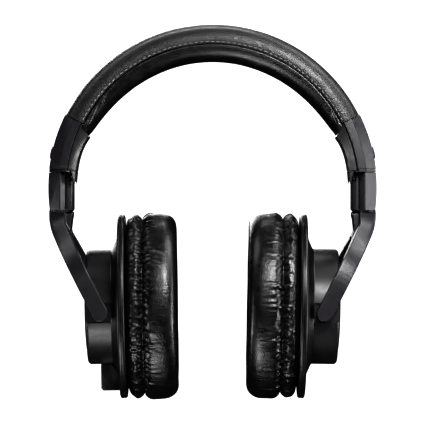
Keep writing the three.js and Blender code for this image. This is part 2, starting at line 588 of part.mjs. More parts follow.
function earCup(name, side) {
  const pieces = {
    cup_housing: [cupHousing(), MATT_PLASTIC],
    outer_cap: [outerCap(), MATT_PLASTIC],
    baffle: [baffle(), MATT_PLASTIC],
    ear_pad: [earPad(), LEATHERETTE],
    pivot_bush_front: [pivotBush(-1), BRASS],
    pivot_bush_rear: [pivotBush(1), BRASS],
    driver_frame: [driverFrame(), MATT_PLASTIC],
    driver_magnet: [driverMagnet(), MAGNET],
    diaphragm: [diaphragm(), FILM],
    driver_grille: [driverGrille(), MATT_PLASTIC],
    damping_foam: [dampingFoam(), FOAM],
  };
  if (name === 'left') {
    pieces.port_housing = [portHousing(), MATT_PLASTIC];
    pieces.jack_socket = [jackSocket(), BRASS];
  }
  const cup = new THREE.Group();
  for (const [piece, [solid, look]] of Object.entries(pieces)) {
    cup.add(mesh(`${name}_${piece}`, solid, look, side));
  }
  cup.position.set(side * PIVOT[0], 0, PIVOT[1]);
  cup.rotation.y = side * radians(CUP_LEAN);
  return cup;
}

const headphones = new THREE.Group();
headphones.add(headband());
for (const [name, side] of [['left', -1], ['right', 1]]) {
  headphones.add(hanger(name, side));
  headphones.add(earCup(name, side));
}

export default headphones;
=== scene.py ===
import json
import math

import bmesh
import bpy
from mathutils import Matrix, Vector, noise


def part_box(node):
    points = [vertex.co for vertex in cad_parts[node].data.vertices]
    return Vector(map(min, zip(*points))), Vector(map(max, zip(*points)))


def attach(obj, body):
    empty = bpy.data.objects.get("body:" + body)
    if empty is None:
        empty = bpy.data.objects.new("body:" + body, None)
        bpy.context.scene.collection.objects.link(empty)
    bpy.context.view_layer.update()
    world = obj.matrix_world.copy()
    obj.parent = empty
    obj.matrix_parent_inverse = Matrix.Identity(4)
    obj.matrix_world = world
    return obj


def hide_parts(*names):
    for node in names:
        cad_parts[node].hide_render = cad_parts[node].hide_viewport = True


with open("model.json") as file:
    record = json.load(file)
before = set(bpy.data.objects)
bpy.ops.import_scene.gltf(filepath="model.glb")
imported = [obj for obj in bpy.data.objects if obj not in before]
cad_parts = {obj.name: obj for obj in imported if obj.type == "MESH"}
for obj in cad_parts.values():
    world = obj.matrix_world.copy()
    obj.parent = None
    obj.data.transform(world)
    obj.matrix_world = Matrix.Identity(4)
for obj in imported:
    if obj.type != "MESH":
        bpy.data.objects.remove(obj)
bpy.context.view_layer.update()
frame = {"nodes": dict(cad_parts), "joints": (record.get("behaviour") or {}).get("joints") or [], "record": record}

MM = 0.001
SIDES = {"left": -1, "right": 1}
scene = bpy.context.scene


# ---- Places taken from the frame ----
def joint(name):
    return next(j for j in frame["joints"] if j["name"] == name)


def in_mm(point):
    return Vector(point) / MM


BAND_END_ANGLE = 26.6                         # degrees above horizontal where the cover ends
cover_high = in_mm(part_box("headband_cover")[1])
BAND_R = cover_high.x / math.cos(math.radians(BAND_END_ANGLE))
BAND_Z = cover_high.z - BAND_R                # height of the arc centre
BAND_HALF = cover_high.y
PIVOT = in_mm(joint("right_tilt")["pos_m"])
SWIVEL = in_mm(joint("right_swivel")["pos_m"])
FOLD = in_mm(joint("right_fold")["pos_m"])
SLIDE = Vector(joint("right_slide")["axis"])
CUP_LEAN = math.radians(0.9)
CUP_CENTRE = 2.5                              # height of the barrel's axis above the pivot
OVAL = 0.84                                   # width over height of flange and cushion
HOUSING_TOP_ANGLE = 26.3
HOUSING_HALF = 17.5                           # half the depth of housing and plate, front to back
SHELL_MOUTH_Z = in_mm(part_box("right_slider_housing_outer")[0]).z
MOUTH_Z = in_mm(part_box("right_slider_housing_inner")[0]).z
SEAM_R = 77.7                                 # radius of the seam between cover and pad
PAD_END_ANGLE = 22.8
PAD_R = 69.5                                  # radius of the pad's underside at the crown
PAD_THINNING = 3.2                            # how much thinner the pad is at its ends
END_SLANT = 3.5                               # pad and plate meet this many degrees higher at the seam
PLATE_OUTER = 78.2


# ---- Meshes ----
def make(name, points, faces, material):
    """A smooth-shaded object from points in millimetres."""
    mesh = bpy.data.meshes.new(name)
    mesh.from_pydata([Vector(p) * MM for p in points], [], faces)
    mesh.validate()
    edit = bmesh.new()
    edit.from_mesh(mesh)
    bmesh.ops.remove_doubles(edit, verts=edit.verts, dist=1e-7)
    bmesh.ops.recalc_face_normals(edit, faces=edit.faces)
    edit.to_mesh(mesh)
    edit.free()
    obj = bpy.data.objects.new(name, mesh)
    scene.collection.objects.link(obj)
    mesh.shade_smooth()
    mesh.materials.append(material)
    return obj


def settle(obj, body, replaces=()):
    """Rides the piece on its body, in place of any CAD nodes it stands for."""
    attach(obj, body)
    if replaces:
        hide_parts(*replaces)


def bake(obj):
    """Gives an object the mesh that its modifiers make."""
    graph = bpy.context.evaluated_depsgraph_get()
    mesh = bpy.data.meshes.new_from_object(obj.evaluated_get(graph))
    obj.modifiers.clear()
    obj.data = mesh


def modify(obj, kind, **settings):
    modifier = obj.modifiers.new(kind.lower(), kind)
    for key, value in settings.items():
        setattr(modifier, key, value)


def boolean(obj, other, operation):
    """Combines the object with another one, which is used up."""
    modify(obj, "BOOLEAN", object=other, operation=operation, solver="EXACT")
    bake(obj)
    bpy.data.objects.remove(other)


def rounded_edges(obj, width, angle, segments=3):
    """Rounds the sharp edges and keeps flat faces looking flat."""
    modify(obj, "BEVEL", width=width * MM, segments=segments, limit_method="ANGLE",
           angle_limit=math.radians(angle), use_clamp_overlap=True, harden_normals=False)
    bake(obj)
    obj.data.shade_smooth()
    modify(obj, "WEIGHTED_NORMAL", keep_sharp=True)
    bake(obj)


def moulded(obj, voxel, smoothing):
    """Remeshes a joined shape finely and smooths it, so that all its edges are rounded."""
    modify(obj, "REMESH", mode="VOXEL", voxel_size=voxel * MM, use_smooth_shade=True)
    modify(obj, "SMOOTH", factor=0.5, iterations=smoothing)
    bake(obj)


def grid(rows, closed=True, caps=True):
    """Points and faces of a surface through rows of points; closed joins each row's ends."""
    count = len(rows[0])
    points = [p for row in rows for p in row]
    faces = []
    for i in range(len(rows) - 1):
        for k in range(count if closed else count - 1):
            a, b = i * count + k, i * count + (k + 1) % count
            faces.append((a, b, b + count, a + count))
    if caps:
        faces.append(tuple(range(count)))
        faces.append(tuple(range(len(points) - count, len(points)))[::-1])
    return points, faces


def soft_corner(start, corner, end, steps):
    """Points of the curve from start to end that is drawn towards the corner."""
    return [(1 - t) ** 2 * start + 2 * t * (1 - t) * corner + t * t * end
            for t in (k / steps for k in range(steps + 1))]


def fillet(outline, radius):
    """The closed outline with each corner replaced by an arc."""
    result = []
    for i, corner in enumerate(outline):
        here = Vector(corner)
        before = Vector(outline[i - 1]) - here
        after = Vector(outline[(i + 1) % len(outline)]) - here
        turn = before.angle(after)
        reach = min(radius / math.tan(turn / 2), before.length * 0.48, after.length * 0.48)
        start, end = here + before.normalized() * reach, here + after.normalized() * reach
        result += soft_corner(start, here, end, 3)
    return [tuple(p) for p in result]


def spline(knots, steps):
    """Points of a smooth open curve through the knots."""
    points = [Vector(k) for k in knots]
    points = [2 * points[0] - points[1], *points, 2 * points[-1] - points[-2]]
    result = []
    for i in range(1, len(points) - 2):
        for k in range(steps):
            t = k / steps
            p0, p1, p2, p3 = points[i - 1:i + 3]
            result.append(0.5 * (2 * p1 + (p2 - p0) * t + (2 * p0 - 5 * p1 + 4 * p2 - p3) * t * t
                                 + (3 * p1 - p0 - 3 * p2 + p3) * t ** 3))
    result.append(points[-2])
    return result


def prism(name, outline, span, place, material):
    """A flat outline (a, b) pushed from one c to another; place turns (a, b, c) into a point."""
    rows = [[place(p[0], p[1], c) for p in outline] for c in span]
    return make(name, *grid(rows), material)


def along_y(a, b, c):
    """Places an outline drawn in (x, z) and pushed along y."""
    return (a, c, b)


def upright(a, b, c):
    """Places an outline drawn in (x, y) and pushed along z."""
    return (a, b, c)


def about_y(x, z):
    """A placing function for shapes turned about a line along y through (x, z)."""
    def place(a, b, along):
        return (x + a, along, z + b)

    return place


def about_z(x):
    """A placing function for shapes turned about the upright line at x."""
    def place(a, b, along):
        return (x + a, b, along)

    return place


def turned(name, profile, place, material, segments):
    """A profile of (radius, along) pairs turned about an axis; its ends lie on the axis or meet."""
    rows = []
    for k in range(segments):
        angle = 2 * math.pi * k / segments
        rows.append([place(r * math.cos(angle), r * math.sin(angle), along) for r, along in profile])
    rows.append(rows[0])
    points, faces = grid(rows, closed=profile[0] == profile[-1], caps=False)
    return make(name, points, faces, material)


def drill(obj, place, radius, start, end, segments=40):
    """Takes a round hole out of the object, between two places along its axis."""
    profile = [(0, start), (radius, start), (radius, end), (0, end)]
    boolean(obj, turned("hole", profile, place, obj.data.materials[0], segments), "DIFFERENCE")


def rectangle(a_from, b_from, a_to, b_to):
    return [(a_from, b_from), (a_to, b_from), (a_to, b_to), (a_from, b_to)]


def carve(obj, outline, span, place):
    """Takes a straight-sided pocket out of the object."""
    boolean(obj, prism("pocket", outline, span, place, obj.data.materials[0]), "DIFFERENCE")


def mirror_side(obj, side):
    """Turns a piece drawn for the side at +X into the one for its own side."""
    if side < 0:
        obj.data.transform(Matrix.Scale(-1, 4, (1, 0, 0)))
        obj.data.flip_normals()


def into_cup(obj, side):
    """Moves a piece drawn in the cup's own frame to its leaning place on its side."""
    obj.data.transform(Matrix.Translation(PIVOT * MM) @ Matrix.Rotation(CUP_LEAN, 4, "Y"))
    mirror_side(obj, side)


# ---- Band coordinates ----
def on_band(radius, y, angle):
    turn = math.radians(angle)
    return (radius * math.cos(turn), y, BAND_Z + radius * math.sin(turn))


def on_spoke(angle, y):
    """A placing function for shapes turned about a spoke of the band."""
    turn = math.radians(angle)
    spoke = Vector((math.cos(turn), 0, math.sin(turn)))
    across = Vector((-math.sin(turn), 0, math.cos(turn)))
    centre = Vector((0, y, BAND_Z))

    def place(a, b, along):
        return centre + spoke * along + across * a + Vector((0, b, 0))

    return place


def level_angle(z, radius):
    """The angle at which a circle of the band passes the height z."""
    return math.degrees(math.asin((z - BAND_Z) / radius))


def at_angle(angle):
    """The same angle for a band_sweep at every radius."""
    def end(radius):
        return angle

    return end


def at_height(z):
    """The angle for a band_sweep that ends level, at the height z."""
    def end(radius):
        return level_angle(z, radius)

    return end


def band_sweep(section, start, end, steps):
    """Rows of a (radius, y) section between two angles, each a function of the radius."""
    rows = []
    for i in range(steps + 1):
        t = i / steps
        rows.append([on_band(r, y, start(r) + t * (end(r) - start(r))) for r, y in section])
    return rows


def both_ways(half):
    """A section drawn in front of the middle, continued by its mirror image behind it."""
    return [*half, *[(r, -y) for r, y in reversed(half)]]


# ---- Materials ----
COLOR_A, COLOR_B, COLOR_OUT = 6, 7, 2         # a Mix node's colour sockets, which share their names


class Finish:
    """A Principled material with helpers that chain procedural detail onto it."""

    def __init__(self, name, color, roughness, metallic=0.0, **sockets):
        self.material = bpy.data.materials.new(name)
        self.material.use_nodes = True
        self.tree = self.material.node_tree
        self.shader = self.tree.nodes["Principled BSDF"]
        self.coords = self.tree.nodes.new("ShaderNodeTexCoord").outputs["Object"]
        self.height = None
        self.set("Base Color", (*color, 1))
        self.set("Roughness", roughness)
        self.set("Metallic", metallic)
        for socket, value in sockets.items():
            self.set(socket.replace("_", " "), value)
        self.color = self.shader.inputs["Base Color"].default_value[:]

    def set(self, socket, value):
        key = next(k for k in self.shader.inputs.keys() if k.lower() == socket.lower())
        self.shader.inputs[key].default_value = value

    def node(self, kind, settings=(), **inputs):
        made = self.tree.nodes.new(kind)
        for key, value in dict(settings).items():
            setattr(made, key, value)
        for key, value in inputs.items():
            socket = made.inputs[key.replace("_", " ")]
            if isinstance(value, bpy.types.NodeSocket):
                self.tree.links.new(value, socket)
            else:
                socket.default_value = value
        return made

    def noise(self, scale, detail=4.0, stretch=(1, 1, 1), distortion=0.0):
        mapped = self.node("ShaderNodeMapping", Vector=self.coords, Scale=stretch)
        made = self.node("ShaderNodeTexNoise", Vector=mapped.outputs[0], Scale=scale, Detail=detail,
                         Distortion=distortion)
        return made.outputs["Fac"]

    def cells(self, scale):
        made = self.node("ShaderNodeTexVoronoi", Vector=self.coords, Scale=scale)
        return made.outputs["Distance"]

    def ranged(self, value, low, high, to_low, to_high):
        made = self.node("ShaderNodeMapRange", Value=value, From_Min=low, From_Max=high,
                         To_Min=to_low, To_Max=to_high)
        return made.outputs[0]

    def vary_color(self, factor, other):
        mix = self.node("ShaderNodeMix", {"data_type": "RGBA"})
        source = self.shader.inputs["Base Color"].links
        if source:
            self.tree.links.new(source[0].from_socket, mix.inputs[COLOR_A])
        else:
            mix.inputs[COLOR_A].default_value = self.color
        mix.inputs[COLOR_B].default_value = (*other, 1)
        self.tree.links.new(factor, mix.inputs["Factor"])
        self.tree.links.new(mix.outputs[COLOR_OUT], self.shader.inputs["Base Color"])

    def vary_roughness(self, factor, low, high):
        self.tree.links.new(self.ranged(factor, 0.3, 0.7, low, high), self.shader.inputs["Roughness"])

    def bump(self, height, distance, strength=1.0):
        made = self.node("ShaderNodeBump", Height=height, Distance=distance, Strength=strength)
        if self.height:
            self.tree.links.new(self.height, made.inputs["Normal"])
        self.height = made.outputs[0]
        self.tree.links.new(self.height, self.shader.inputs["Normal"])

    def edge_wear(self, color, low=0.52, high=0.58, amount=0.4):
        point = self.node("ShaderNodeNewGeometry").outputs["Pointiness"]
        worn = self.ranged(point, low, high, 0.0, amount)
        patchy = self.node("ShaderNodeMath", {"operation": "MULTIPLY"})
        self.tree.links.new(worn, patchy.inputs[0])
        self.tree.links.new(self.ranged(self.noise(420), 0.35, 0.6, 0.2, 1.0), patchy.inputs[1])
        self.vary_color(patchy.outputs[0], color)


def leatherette(name, color, grain, creases, rough, coat, pebble=0.16, puckers=0.0):
    """Coated leather: pebbled grain, fine creases, a soft clear coat; puckers run along x."""
    made = Finish(name, color, rough, Specular_IOR_Level=0.5, Coat_Weight=coat, Coat_Roughness=0.2)
    made.vary_color(made.ranged(made.noise(90, 5), 0.35, 0.7, 0.0, 0.55), [c * 1.9 + 0.004 for c in color])
    made.vary_roughness(made.noise(260, 5), rough - 0.07, rough + 0.09)
    made.bump(made.noise(120, 6, distortion=0.2), creases * MM)
    if puckers:
        made.bump(made.noise(420, 3, stretch=(0.16, 1, 1), distortion=0.3), puckers * MM)
        made.bump(made.noise(900, 3, stretch=(0.25, 1, 1), distortion=0.4), 0.4 * puckers * MM)
    made.bump(made.cells(grain), pebble * MM, 0.9)
    made.bump(made.noise(grain * 3.2, 3), 0.4 * pebble * MM, 0.8)
    return made.material


def moulded_plastic(name, color, roughness, texture=0.03, wear=(0.03, 0.029, 0.029)):
    """Spark-eroded plastic: fine pitting, faint colour drift, paler edges."""
    made = Finish(name, color, roughness, Specular_IOR_Level=0.5)
    made.vary_color(made.ranged(made.noise(60, 4), 0.3, 0.75, 0.0, 0.5), [c * 1.5 + 0.002 for c in color])
    made.edge_wear(wear)
    made.vary_roughness(made.noise(340, 4), roughness - 0.05, roughness + 0.07)
    made.bump(made.noise(2600, 2), texture * MM, 0.8)
    made.bump(made.noise(900, 3), texture * MM, 0.5)
    return made.material


def brushed_metal(name, color, roughness):
    """Drawn steel: fine streaks along the piece, cloudy polish."""
    made = Finish(name, color, roughness, metallic=1.0)
    made.vary_color(made.ranged(made.noise(150, 4), 0.3, 0.7, 0.0, 0.6), [c * 0.7 for c in color])
    made.vary_roughness(made.noise(500, 3), roughness - 0.06, roughness + 0.12)
    made.bump(made.noise(900, 2, stretch=(1, 1, 0.05)), 0.01 * MM, 0.6)
    return made.material


def foam_block(name, color):
    made = Finish(name, color, 0.95)
    made.vary_color(made.ranged(made.cells(900), 0.1, 0.5, 0.0, 1.0), [c * 0.3 for c in color])
    made.bump(made.cells(1100), 0.3 * MM)
    return made.material


def knitted(name, color):
    """A thin acoustic cloth: two crossing sets of threads."""
    made = Finish(name, color, 0.85, Sheen_Weight=0.25, Sheen_Roughness=0.4)
    for axis in ("Y", "Z"):
        wave = made.node("ShaderNodeTexWave", {"bands_direction": axis, "wave_type": "BANDS"},
                         Vector=made.coords, Scale=520.0, Distortion=0.6, Detail=1.0)
        made.bump(wave.outputs["Fac"], 0.12 * MM, 0.9)
    made.vary_color(made.ranged(made.noise(1500, 2), 0.3, 0.7, 0.0, 0.7), [c * 2.4 for c in color])
    return made.material


def thread(name, color):
    made = Finish(name, color, 0.6, Sheen_Weight=0.3)
    made.vary_color(made.ranged(made.noise(1800, 2), 0.3, 0.7, 0.0, 0.6), [c * 0.5 for c in color])
    made.bump(made.noise(2400, 1, stretch=(1, 1, 0.3)), 0.05 * MM)
    return made.material


LOOKS = {
    "cover_leather": leatherette("cover_leatherette", (0.012, 0.011, 0.012), 1000, 0.1, 0.44, 0.1,
                                 pebble=0.13),
    "pad_leather": leatherette("pad_leatherette", (0.003, 0.0028, 0.003), 1250, 0.12, 0.34, 0.2, pebble=0.1),
    "cushion_leather": leatherette("cushion_leatherette", (0.0025, 0.0023, 0.0025), 1350, 0.05, 0.33, 0.14,
                                   pebble=0.09, puckers=0.22),
    "satin_plastic": moulded_plastic("satin_plastic", (0.014, 0.0125, 0.0155), 0.35, 0.012),
    "plate_plastic": moulded_plastic("plate_plastic", (0.016, 0.0155, 0.0155), 0.34, 0.012),
    # Near-black plastic; on the joint filler, the link's foot, the yoke's plate and the hinge's end block this
    # near-black also paints the shade in the gaps.
    "matt_plastic": moulded_plastic("matt_plastic", (0.003, 0.0028, 0.0033), 0.36, 0.015),
    "barrel_plastic": moulded_plastic("barrel_plastic", (0.010, 0.0094, 0.0108), 0.38, 0.012),
    "cap_plastic": moulded_plastic("cap_plastic", (0.008, 0.0075, 0.0085), 0.36, 0.02),
    "steel": brushed_metal("drawn_steel", (0.55, 0.55, 0.56), 0.28),
    "black_steel": brushed_metal("black_oxide_steel", (0.03, 0.03, 0.032), 0.4),
    "spring_steel": brushed_metal("spring_steel", (0.36, 0.36, 0.38), 0.32),
    "brass": brushed_metal("plated_brass", (0.62, 0.5, 0.27), 0.28),
    "magnet": brushed_metal("magnet_steel", (0.3, 0.3, 0.32), 0.4),
    "film": moulded_plastic("diaphragm_film", (0.42, 0.36, 0.24), 0.3, 0.01, (0.5, 0.45, 0.35)),
    "foam": foam_block("open_foam", (0.03, 0.03, 0.032)),
}
KNIT = knitted("acoustic_cloth", (0.012, 0.012, 0.013))
THREAD = thread("seam_thread", (0.22, 0.215, 0.21))


def dress_cad_nodes():
    """Every CAD node gets the material of its slot; the tilt pins and bushes are blackened."""
    for part in frame["record"]["subparts"]:
        node = frame["nodes"][part["node"]]
        node.data.materials.clear()
        look = "black_steel" if "_pivot_" in part["node"] else part["material_slot"]
        node.data.materials.append(LOOKS[look])


# ---- Headband ----
def headband_cover():
    half = BAND_HALF
    outside = spline([(SEAM_R, 0.5 - half), (79.6, -half), (82.8, 0.3 - half), (85.8, 1.9 - half),
                      (87.6, 5.3 - half), (88.4, 10 - half), (BAND_R, 0)], 5)
    outside = both_ways([tuple(p) for p in outside[:-1]])
    inside = both_ways([(SEAM_R, 2.2 - half), (83.5, 2.4 - half), (87.1, 6.6 - half)])
    section = [*outside, *reversed(inside)]
    rows = band_sweep(section, at_angle(BAND_END_ANGLE), at_angle(180 - BAND_END_ANGLE), 150)
    obj = make("headband_cover_skin", *grid(rows), LOOKS["cover_leather"])
    roughen(obj, 0.10, 26)
    obj.data.set_sharp_from_angle(angle=math.radians(60))
    settle(obj, "headband", ["headband_cover"])


def displace(obj, height):
    """Moves each vertex along its normal by a height worked out from its place, in millimetres."""
    normals = [v.normal.copy() for v in obj.data.vertices]
    for vertex, normal in zip(obj.data.vertices, normals):
        vertex.co += normal * height(vertex.co / MM) * MM


def roughen(obj, depth, size):
    """Smooth unevenness, as stretched leather is never quite even."""
    def swell(p):
        return depth * (noise.noise(p / size * 2) + 0.5 * noise.noise(p / size * 5))

    displace(obj, swell)


def headband_pad():
    """The soft underside: closed, tucked under the cover, and blown up by cloth simulation."""
    def section(away):
        low = PAD_R + PAD_THINNING * abs(away) ** 3
        knots = [(SEAM_R - 0.3, -17), (SEAM_R - 0.4, -18.1), ((low + SEAM_R) / 2 + 1, -18.2),
                 (low + 1.2, -15.5), (low + 0.1, -10), (low, 0)]
        half = [tuple(p) for p in spline(knots, 5)[:-1]]
        return low, both_ways(half)

    steps = 110
    rows = []
    for i in range(steps + 1):
        away = 2 * i / steps - 1
        low, outline = section(away)
        row = []
        for r, y in outline:
            raised = END_SLANT * (r - low) / (SEAM_R - low) * away
            row.append(on_band(r, y, 90 + away * (90 - PAD_END_ANGLE) - raised))
        rows.append(row)
    obj = make("headband_cushion", *grid(rows), LOOKS["pad_leather"])
    pinned = [v.index for v in obj.data.vertices
              if math.hypot(v.co.x / MM, v.co.z / MM - BAND_Z) > SEAM_R - 1.5]
    inflate(obj, pinned, pressure=3.0, growth=0.012, reach=0.6)
    obj.data.set_sharp_from_angle(angle=math.radians(60))
    settle(obj, "headband", ["headband_pad"])


def inflate(obj, pinned, pressure, growth, reach):
    """Cloth simulation of a stuffed cover: air inside, seams held, a little spare material."""
    scale = 10.0                              # cloth behaves best at about a metre across
    frames = 20
    start = [v.co.copy() for v in obj.data.vertices]
    obj.data.transform(Matrix.Scale(scale, 4))
    obj.vertex_groups.new(name="seam").add(pinned, 1.0, "REPLACE")
    cloth = obj.modifiers.new("air", "CLOTH")
    settings = cloth.settings
    settings.quality = 6
    settings.use_pressure = True
    settings.uniform_pressure_force = pressure
    settings.shrink_min = -growth
    settings.vertex_group_mass = "seam"
    settings.bending_stiffness = 2.0
    settings.effector_weights.gravity = 0
    for step in range(1, frames + 1):
        scene.frame_set(step)
    bake(obj)
    scene.frame_set(1)
    obj.vertex_groups.clear()
    obj.data.transform(Matrix.Scale(1 / scale, 4))
    for vertex, before in zip(obj.data.vertices, start):
        move = vertex.co - before
        if move.length > reach * MM:
            move *= reach * MM / move.length
        vertex.co = before + move


def stitch_row(name, places, material):
    """Short threads as one mesh, each centred on its place and tapering to its ends."""
    length, radius = 2.0, 0.24
    ring_at = [(-0.5, 0.15), (-0.42, 0.75), (-0.2, 1.0), (0.2, 1.0), (0.42, 0.75), (0.5, 0.15)]
    points, faces = [], []
    for start, along, up in places:
        side = along.cross(up).normalized()
        base = len(points)
        for t, swell in ring_at:
            for k in range(6):
                angle = math.pi * k / 3
                offset = side * math.cos(angle) * 1.1 + up * math.sin(angle)
                points.append(start + along * t * length + offset * radius * swell)
        for i in range(len(ring_at) - 1):
            for k in range(6):
                a, b = base + i * 6 + k, base + i * 6 + (k + 1) % 6
                faces.append((a, b, b + 6, a + 6))
        faces.append(tuple(range(base, base + 6)))
        last = base + 6 * (len(ring_at) - 1)
        faces.append(tuple(range(last, last + 6))[::-1])
    return make(name, points, faces, material)


def headband_stitching():
    pitch = 2.9
    radius = SEAM_R + 0.9
    span = 180 - 2 * BAND_END_ANGLE - 1
    count = int(math.radians(span) * radius / pitch)
    places = []
    for face in (-1, 1):
        for i in range(count):
            angle = BAND_END_ANGLE + 0.5 + span * (i + 0.5) / count
            turn = math.radians(angle)
            spot = Vector(on_band(radius, face * (BAND_HALF - 0.25), angle))
            along = Vector((-math.sin(turn), 0, math.cos(turn)))
            places.append((spot, along, Vector((0, face, 0))))
    obj = stitch_row("headband_stitching", places, THREAD)
    settle(obj, "headband")


# ---- Slider housing ----
def slide_slot():
    """The straight channel that the strip runs in."""
    along = -SLIDE
    out = Vector((along.z, 0, -along.x))
    mouth = Vector((79.5, 0, -59))

    def place(y, n, t):
        return mouth + out * n + along * t + Vector((0, y, 0))

    return prism("slot", rectangle(-5.5, -1.15, 5.5, 1.15), (-4, 45), place, LOOKS["matt_plastic"])


def housing_outline(inset):
    """Section (radius, y) of the slider housing, with bevels that face forward and outward."""
    half = [(78.5 + inset, inset - HOUSING_HALF), (83.2 - inset / 3, inset - HOUSING_HALF),
            (BAND_R - inset, inset / 2 - 12.5)]
    return fillet(both_ways(half), 0.7)


def housing_outer(name, side):
    rows = band_sweep(housing_outline(0), at_height(SHELL_MOUTH_Z), at_angle(HOUSING_TOP_ANGLE), 26)
    obj = make(f"{name}_housing_shell", *grid(rows), LOOKS["satin_plastic"])
    boolean(obj, slide_slot(), "DIFFERENCE")
    rounded_edges(obj, 0.3, 30)
    mirror_side(obj, side)
    settle(obj, "headband", [f"{name}_slider_housing_outer"])


def painted_shade_joint_filler(name, side):
    """Fills the joint between cover and housing, so nothing shows through; its near-black is painted shade in the
    gap.
    """
    rows = band_sweep(housing_outline(0.3), at_angle(26.0), at_angle(26.75), 1)
    obj = make(f"{name}_painted_shade_joint_filler", *grid(rows), LOOKS["matt_plastic"])
    boolean(obj, slide_slot(), "DIFFERENCE")
    mirror_side(obj, side)
    settle(obj, "headband", ())


def thumb_button(name, side):
    """A low round button on the housing's outer face."""
    top = BAND_R + 1.4
    profile = [(0, BAND_R - 1), (3.4, BAND_R - 1), (3.4, top - 0.6), (3.0, top - 0.15), (2.4, top),
               (1.2, top - 0.2), (0, top - 0.25)]
    obj = turned(f"{name}_thumb_button", profile, on_spoke(12.5, 0), LOOKS["satin_plastic"], 48)
    mirror_side(obj, side)
    settle(obj, "headband", ())


PLATE_INNER, PLATE_FLAT, PLATE_FLARE, PLATE_TOP = 74.2, 14.1, 1.8, 22.6
SCREWS = (("lower", 11.5, 11.5), ("upper", 17, -11.5))      # name, angle up the band, y


def plate_outline():
    return both_ways([(PLATE_INNER, -PLATE_FLAT), (PLATE_OUTER - 0.3, 0.1 - HOUSING_HALF),
                      (PLATE_OUTER, -HOUSING_HALF)])


def housing_inner(name, side):
    """The inner plate: flat between two bevels, thicker and cut on a slant towards the pad."""
    steps = 24
    rows = []
    for i in range(steps + 1):
        share = i / steps
        row = []
        for r, y in plate_outline():
            depth = (PLATE_OUTER - r) / (PLATE_OUTER - PLATE_INNER)
            start = level_angle(MOUTH_Z, r)
            angle = start + share * (PLATE_TOP + (1 - depth) * END_SLANT - start)
            row.append(on_band(r - depth * PLATE_FLARE * share ** 3, y, angle))
        rows.append(row)
    obj = make(f"{name}_housing_plate", *grid(rows), LOOKS["plate_plastic"])
    for _, angle, y in SCREWS:
        drill(obj, on_spoke(angle, y), 2.6, 70, 75.9)
    rounded_edges(obj, 0.3, 28)
    mirror_side(obj, side)
    settle(obj, "headband", [f"{name}_slider_housing_inner"])


def housing_screws(name, side):
    """Pan-head screws with a cross recess, standing just below the plate's face."""
    for place_name, angle, y in SCREWS:
        place = on_spoke(angle, y)
        profile = [(0, 74.3), (1.2, 74.35), (1.9, 74.6), (2.1, 75), (2.1, 76.1), (0, 76.1)]
        screw = turned(f"{name}_screw_{place_name}", profile, place, LOOKS["steel"], 40)
        for a, b in ((1.3, 0.28), (0.28, 1.3)):
            carve(screw, rectangle(-a, -b, a, b), (73, 75.2), place)
        mirror_side(screw, side)
        settle(screw, "headband", [f"{name}_housing_screw_{place_name}"])


# ---- Fold hinge, link and swivel ----
BLOCK_TOP = MOUTH_Z - 0.3
LINK_LOW, LINK_HIGH = -81.2, -60.9


def end_block(name, side):
    """A lug for the pin, under a plate that closes the mouth, with two blades over the hinge."""
    lug = [(74.2, BLOCK_TOP), (74.3, -65.2), (75, -66.5), (76.8, -66.4), (78.3, -65), (78.6, -64),
           (81.4, -64), (81.4, BLOCK_TOP)]
    # The block is black plastic, and its near-black also paints the shade in the hinge gap under the housing's
    # mouth.
    obj = prism(f"{name}_hinge_block", fillet(lug, 0.5), (-4, 4), along_y, LOOKS["matt_plastic"])
    bar = [(77.3, BLOCK_TOP), (77.3, BLOCK_TOP - 1.6), (81.4, BLOCK_TOP - 1.6), (81.4, BLOCK_TOP)]
    boolean(obj, prism("bar", bar, (-8, 8), along_y, LOOKS["matt_plastic"]), "UNION")
    low = BLOCK_TOP - 0.55
    foot = both_ways([(PLATE_INNER + 0.3, 0.4 - PLATE_FLAT), (PLATE_OUTER + 0.6, -17.1)])
    for section, top in ((housing_outline(0.2), SHELL_MOUTH_Z - 0.15), (foot, BLOCK_TOP + 0.2)):
        rows = [[on_band(r, y, level_angle(z, r)) for r, y in section] for z in (low, top)]
        boolean(obj, make("shelf", *grid(rows), LOOKS["matt_plastic"]), "UNION")
    rounded_edges(obj, 0.15, 50)
    mirror_side(obj, side)
    settle(obj, f"{name}_slider", [f"{name}_slider_end_block"])
    for end, face in (("front", -1), ("rear", 1)):
        hinge_blade(name, side, end, face)


def hinge_blade(name, side, end, face):
    """A tapering continuation of the inner plate, in front of or behind the hinge."""
    rows = []
    steps = 14
    for i in range(steps + 1):
        t = i / steps
        z = BLOCK_TOP + 0.15 - 6.9 * t
        outer = 76.0 - 1.5 * t - 0.25 * t ** 8
        inner = PLATE_INNER * math.cos(math.radians(level_angle(z, PLATE_INNER))) + 0.25 * t ** 8
        slope = (HOUSING_HALF - PLATE_FLAT) / (PLATE_OUTER - PLATE_INNER)
        bevel = PLATE_FLAT + (outer - inner) * slope
        rows.append([(inner, face * y, z) for y in (8.8, PLATE_FLAT)]
                    + [(outer, face * bevel, z), (outer, face * 8.8, z)])
    obj = make(f"{name}_hinge_blade_{end}", *grid(rows), LOOKS["plate_plastic"])
    rounded_edges(obj, 0.2, 28)
    mirror_side(obj, side)
    settle(obj, f"{name}_slider", ())


def fold_pin(name, side):
    profile = [(0, -8.1), (0.7, -8.1), (1.05, -7.8), (1.05, 7.8), (0.7, 8.1), (0, 8.1)]
    obj = turned(f"{name}_fold_pin_turned", profile, about_y(FOLD.x, FOLD.z), LOOKS["black_steel"], 32)
    mirror_side(obj, side)
    settle(obj, f"{name}_slider", [f"{name}_fold_pin"])


